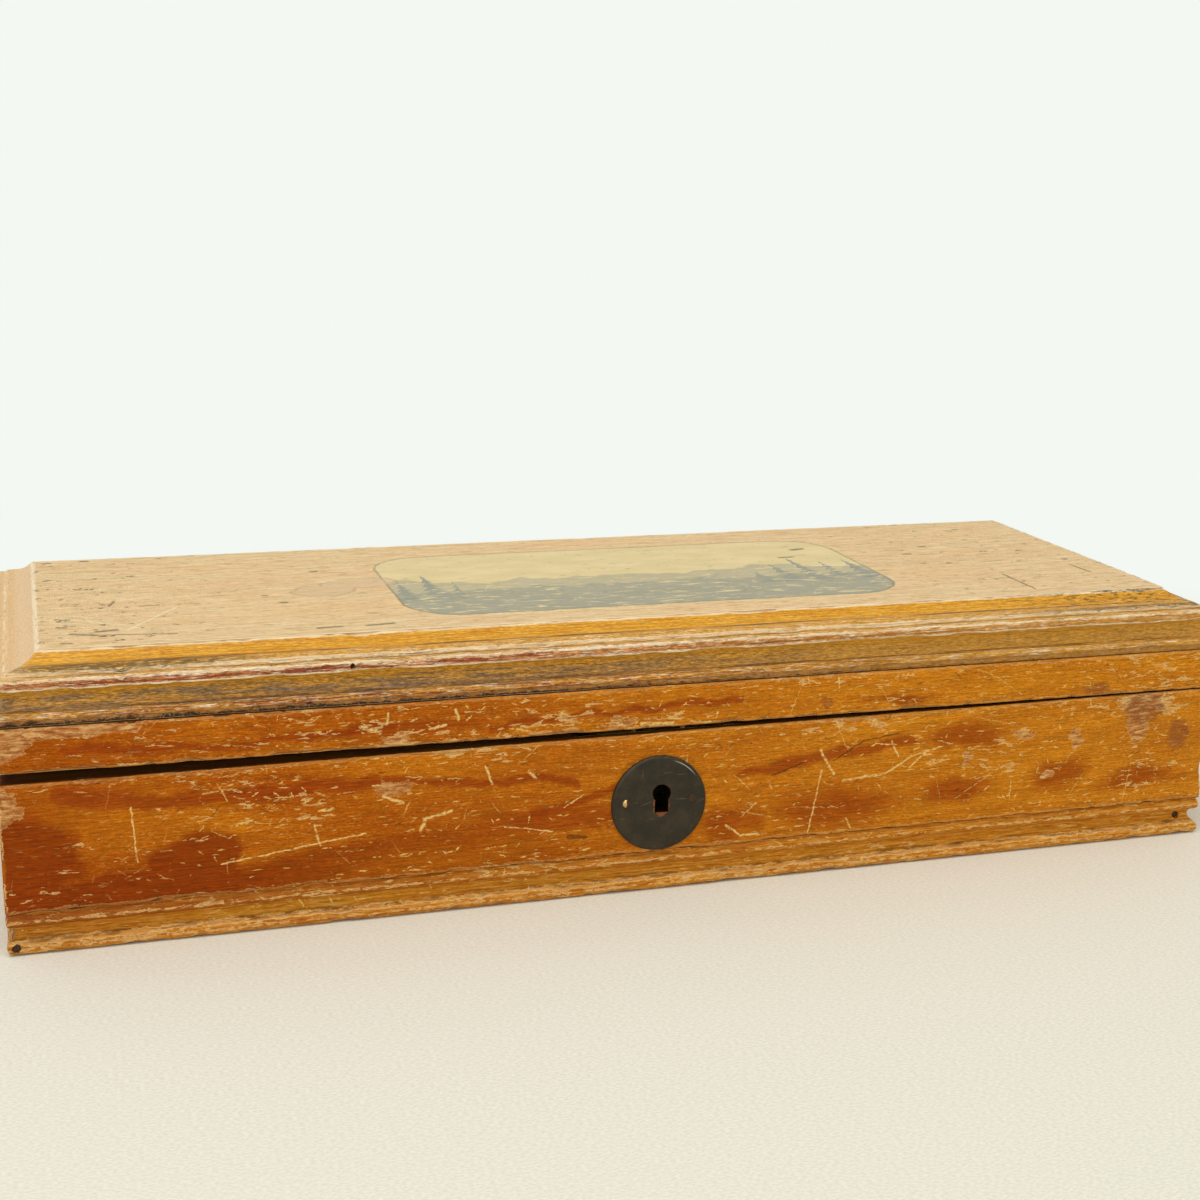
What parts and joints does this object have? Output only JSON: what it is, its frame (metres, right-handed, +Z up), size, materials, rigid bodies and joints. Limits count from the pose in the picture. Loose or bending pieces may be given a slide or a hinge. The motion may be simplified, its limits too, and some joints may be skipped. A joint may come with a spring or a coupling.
{
  "type": "ditty box",
  "caption": "Long low wooden keepsake box with a moulded foot, a hinged lid under a raised moulded top board, a round keyhole plate and a box lock.",
  "frame": {"origin": "centre of the underside, on the surface the box stands on", "axes": "+X along the length towards the right-hand end, +Y from the front to the hinged back, +Z up"},
  "size_m": [0.2901, 0.1094, 0.0647],
  "materials": {
    "varnished_pine": "old amber varnish on pine, worn and scratched",
    "lid_board": "bare pale panel inside amber varnished mouldings, worn arrises",
    "bare_pine": "unfinished pine, dusty",
    "blackened_iron": "blackened, satin, slightly rusty at the pins",
    "brass": "dull tarnished sheet brass",
    "steel": "dark oxidised steel"
  },
  "bodies": {
    "box": {"box_front": "varnished_pine", "box_back": "varnished_pine", "box_left_end": "varnished_pine", "box_right_end": "varnished_pine", "bottom_board": "bare_pine", "escutcheon": "blackened_iron", "escutcheon_pins": "brass", "lock_plate": "brass", "lock_cap": "brass", "lock_guide_stud": "brass", "hinge_left_box_leaf": "brass", "hinge_right_box_leaf": "brass", "box_corner_pins": "steel", "bottom_pins": "steel", "lock_spring": "steel", "lock_screws": "steel", "hinge_left_pin": "steel", "hinge_right_pin": "steel", "hinge_box_screws": "steel"},
    "lid": {"lid_front_rail": "varnished_pine", "lid_back_rail": "varnished_pine", "lid_left_rail": "varnished_pine", "lid_right_rail": "varnished_pine", "lid_top": "lid_board", "lid_corner_pins": "steel", "link_plate": "brass", "link_staples": "brass", "link_plate_screws": "steel", "hinge_left_lid_leaf": "brass", "hinge_right_lid_leaf": "brass", "hinge_lid_screws": "steel"},
    "bolt": {"lock_bolt": "brass"}
  },
  "joints": [
    {"name": "lid_hinge", "type": "hinge", "parent": "box", "child": "lid", "pos_m": [0, 0.0525, 0.03893], "axis": [-1, 0, 0.0036], "range_deg": [0, 100]},
    {"name": "bolt_slide", "type": "slide", "parent": "box", "child": "bolt", "axis": [1, 0, 0], "range_m": [0, 0.003]}
  ]
}
